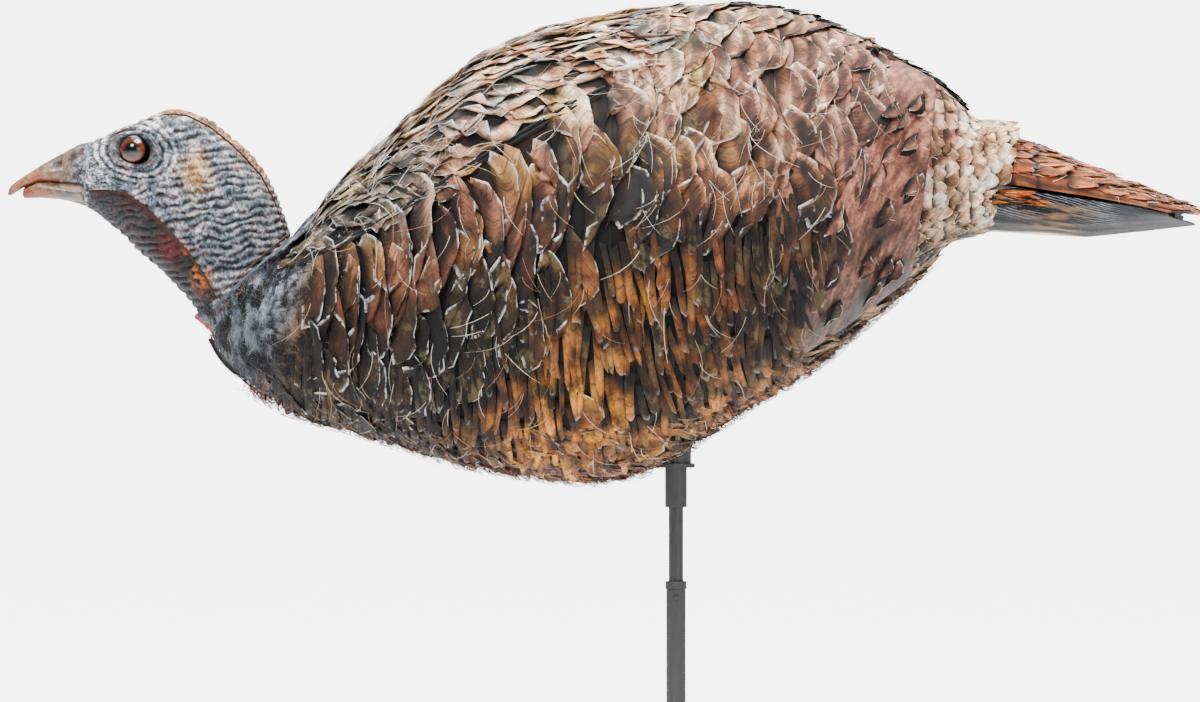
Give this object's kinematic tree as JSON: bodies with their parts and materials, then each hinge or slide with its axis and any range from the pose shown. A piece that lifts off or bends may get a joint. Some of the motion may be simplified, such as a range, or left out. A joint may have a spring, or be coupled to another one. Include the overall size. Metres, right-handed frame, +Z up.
{
  "type": "turkey decoy",
  "caption": "Hen turkey decoy: sewn cut-feather fabric over a folding umbrella frame, with a stuffed head, glass eyes and a hinged tail, on a two-part ground stake",
  "frame": {"origin": "On the stake's axis at ground level, below the socket", "axes": "+X towards the tail, the head points to -X; +Z up along the stake; +Y is the bird's left to right line, square to both"},
  "size_m": [0.8568, 0.2828, 0.7169],
  "materials": {
    "head_print": "printed short-nap cloth, blue-grey and white wrinkled skin with dark teal creases",
    "crown_print": "printed short-nap cloth, tan and orange",
    "throat_print": "printed short-nap cloth, dark with a red spot",
    "foam": "light grey closed-cell foam",
    "beak_horn": "moulded, orange-tan, satin",
    "eye_glass": "polished dark brown",
    "cape_print": "fluffy printed cloth, grey, white and blue mottle",
    "back_print": "cut feather cloth, dark teal with tan and orange tips",
    "wing_print": "cut feather cloth, bronze and mauve",
    "saddle_print": "cut feather cloth, bronze with black bars",
    "satin_print": "satin cloth, mauve pink with few slits",
    "rump_print": "cut cloth, beige scallops with white edges",
    "tail_print": "cut cloth, orange red with black bars",
    "tail_under_print": "cut cloth, grey and dark blue stripes",
    "black_plastic": "moulded, fine grain",
    "dark_rod": "dark brown-grey coating, satin",
    "grey_tube": "grey anodised",
    "spring_steel": "bright drawn wire and strip",
    "rubber": "matt black"
  },
  "bodies": {
    "ground_stake": {"lower_tube": "grey_tube", "tube_collar": "dark_rod", "lock_screw": "spring_steel", "ground_spike": "dark_rod"},
    "upper_stake": {"upper_rod": "dark_rod"},
    "runner": {"runner": "black_plastic", "runner_sleeve": "black_plastic", "runner_wire": "spring_steel", "runner_grip_ring": "rubber"},
    "head": {"head_core": "foam", "crown_strip": "crown_print", "face_left": "head_print", "face_right": "head_print", "throat_panel": "throat_print", "eye_left": "eye_glass", "eye_right": "eye_glass", "upper_beak": "beak_horn", "lower_beak": "beak_horn"},
    "tail": {"tail_board": "black_plastic", "tail_top_cover": "tail_print", "tail_under_cover": "tail_under_print"},
    "rib_1": {"rib_1": "spring_steel"},
    "rib_2": {"rib_2": "spring_steel"},
    "rib_3": {"rib_3": "spring_steel"},
    "rib_4": {"rib_4": "spring_steel"},
    "rib_5": {"rib_5": "spring_steel"},
    "rib_6": {"rib_6": "spring_steel"},
    "rib_7": {"rib_7": "spring_steel"},
    "stretcher_1": {"stretcher_1": "spring_steel"},
    "stretcher_2": {"stretcher_2": "spring_steel"},
    "stretcher_3": {"stretcher_3": "spring_steel"},
    "stretcher_4": {"stretcher_4": "spring_steel"},
    "stretcher_5": {"stretcher_5": "spring_steel"},
    "stretcher_6": {"stretcher_6": "spring_steel"},
    "stretcher_7": {"stretcher_7": "spring_steel"},
    "decoy_body": {"back_panel": "back_print", "belly_grommet": "black_plastic", "breast_panel": "wing_print", "collar_disc": "black_plastic", "crown_wire": "spring_steel", "front_crown": "black_plastic", "hub_bolt": "spring_steel", "hub_left": "black_plastic", "hub_nut": "spring_steel", "hub_right": "black_plastic", "neck_cape_left": "cape_print", "neck_cape_right": "cape_print", "neck_post": "black_plastic", "rear_belly_panel": "wing_print", "rump_band_top": "rump_print", "rump_band_under": "rump_print", "saddle_panel": "saddle_print", "satin_band": "satin_print", "spine_shaft": "dark_rod", "stake_socket": "black_plastic", "tail_fork": "black_plastic", "tail_hinge_pin": "spring_steel", "wing_panel_left": "wing_print", "wing_panel_right": "wing_print"}
  },
  "joints": [
    {"name": "stake_telescope", "type": "slide", "parent": "ground_stake", "child": "upper_stake", "axis": [0, 0, 1], "range_m": [-0.012, 0.08]},
    {"name": "decoy_swivel", "type": "hinge", "parent": "upper_stake", "child": "decoy_body", "pos_m": [0, 0, 0.27], "axis": [0, 0, 1], "continuous": true},
    {"name": "runner_slide", "type": "slide", "parent": "decoy_body", "child": "runner", "axis": [0.9826, 0, 0.1857], "range_m": [0, 0.03886]},
    {"name": "head_turn", "type": "hinge", "parent": "decoy_body", "child": "head", "pos_m": [-0.30741, 0, 0.35825], "axis": [-0.6678, 0, 0.7443], "range_deg": [-60, 60]},
    {"name": "tail_tilt", "type": "hinge", "parent": "decoy_body", "child": "tail", "pos_m": [0.21169, 0, 0.425], "axis": [0, -1, 0], "range_deg": [-10, 20]},
    {"name": "rib_1_fold", "type": "hinge", "parent": "decoy_body", "child": "rib_1", "pos_m": [-0.27417, 0, 0.34744], "axis": [0, 1, 0], "range_deg": [0, 20.7]},
    {"name": "stretcher_1_fold", "type": "hinge", "parent": "runner", "child": "stretcher_1", "pos_m": [-0.12325, 0.0024, 0.37596], "axis": [0, -1, 0], "range_deg": [0, 37.4]},
    {"name": "rib_2_fold", "type": "hinge", "parent": "decoy_body", "child": "rib_2", "pos_m": [-0.27341, 0.0099, 0.34341], "axis": [0.1313, 0.7071, -0.6948], "range_deg": [0, 20.7]},
    {"name": "stretcher_2_fold", "type": "hinge", "parent": "runner", "child": "stretcher_2", "pos_m": [-0.12217, 0.0116, 0.37026], "axis": [-0.1313, -0.7071, 0.6948], "range_deg": [0, 37.4]},
    {"name": "rib_3_fold", "type": "hinge", "parent": "decoy_body", "child": "rib_3", "pos_m": [-0.27341, -0.0099, 0.34341], "axis": [-0.1313, 0.7071, 0.6948], "range_deg": [0, 20.7]},
    {"name": "stretcher_3_fold", "type": "hinge", "parent": "runner", "child": "stretcher_3", "pos_m": [-0.1228, -0.0082, 0.3736], "axis": [0.1313, -0.7071, -0.6948], "range_deg": [0, 37.4]},
    {"name": "rib_4_fold", "type": "hinge", "parent": "decoy_body", "child": "rib_4", "pos_m": [-0.27158, 0.014, 0.33369], "axis": [0.1857, 0, -0.9826], "range_deg": [0, 20.7]},
    {"name": "stretcher_4_fold", "type": "hinge", "parent": "runner", "child": "stretcher_4", "pos_m": [-0.12021, 0.014, 0.35985], "axis": [-0.1857, 0, 0.9826], "range_deg": [0, 37.4]},
    {"name": "rib_5_fold", "type": "hinge", "parent": "decoy_body", "child": "rib_5", "pos_m": [-0.27158, -0.014, 0.33369], "axis": [-0.1857, 0, 0.9826], "range_deg": [0, 20.7]},
    {"name": "stretcher_5_fold", "type": "hinge", "parent": "runner", "child": "stretcher_5", "pos_m": [-0.1211, -0.014, 0.36456], "axis": [0.1857, 0, -0.9826], "range_deg": [0, 37.4]},
    {"name": "rib_6_fold", "type": "hinge", "parent": "decoy_body", "child": "rib_6", "pos_m": [-0.26974, 0.0099, 0.32396], "axis": [0.1313, -0.7071, -0.6948], "range_deg": [0, 20.7]},
    {"name": "stretcher_6_fold", "type": "hinge", "parent": "runner", "child": "stretcher_6", "pos_m": [-0.1185, 0.0082, 0.35081], "axis": [-0.1313, 0.7071, 0.6948], "range_deg": [0, 37.4]},
    {"name": "rib_7_fold", "type": "hinge", "parent": "decoy_body", "child": "rib_7", "pos_m": [-0.26974, -0.0099, 0.32396], "axis": [-0.1313, -0.7071, 0.6948], "range_deg": [0, 20.7]},
    {"name": "stretcher_7_fold", "type": "hinge", "parent": "runner", "child": "stretcher_7", "pos_m": [-0.11913, -0.0116, 0.35414], "axis": [0.1313, 0.7071, -0.6948], "range_deg": [0, 37.4]}
  ],
  "couplings": [
    {"joint": "rib_1_fold", "follows": "runner_slide", "rad_per_m": 9.2985},
    {"joint": "stretcher_1_fold", "follows": "runner_slide", "rad_per_m": 16.799},
    {"joint": "rib_2_fold", "follows": "runner_slide", "rad_per_m": 9.2985},
    {"joint": "stretcher_2_fold", "follows": "runner_slide", "rad_per_m": 16.799},
    {"joint": "rib_3_fold", "follows": "runner_slide", "rad_per_m": 9.2985},
    {"joint": "stretcher_3_fold", "follows": "runner_slide", "rad_per_m": 16.799},
    {"joint": "rib_4_fold", "follows": "runner_slide", "rad_per_m": 9.2985},
    {"joint": "stretcher_4_fold", "follows": "runner_slide", "rad_per_m": 16.799},
    {"joint": "rib_5_fold", "follows": "runner_slide", "rad_per_m": 9.2985},
    {"joint": "stretcher_5_fold", "follows": "runner_slide", "rad_per_m": 16.799},
    {"joint": "rib_6_fold", "follows": "runner_slide", "rad_per_m": 9.2985},
    {"joint": "stretcher_6_fold", "follows": "runner_slide", "rad_per_m": 16.799},
    {"joint": "rib_7_fold", "follows": "runner_slide", "rad_per_m": 9.2985},
    {"joint": "stretcher_7_fold", "follows": "runner_slide", "rad_per_m": 16.799}
  ]
}
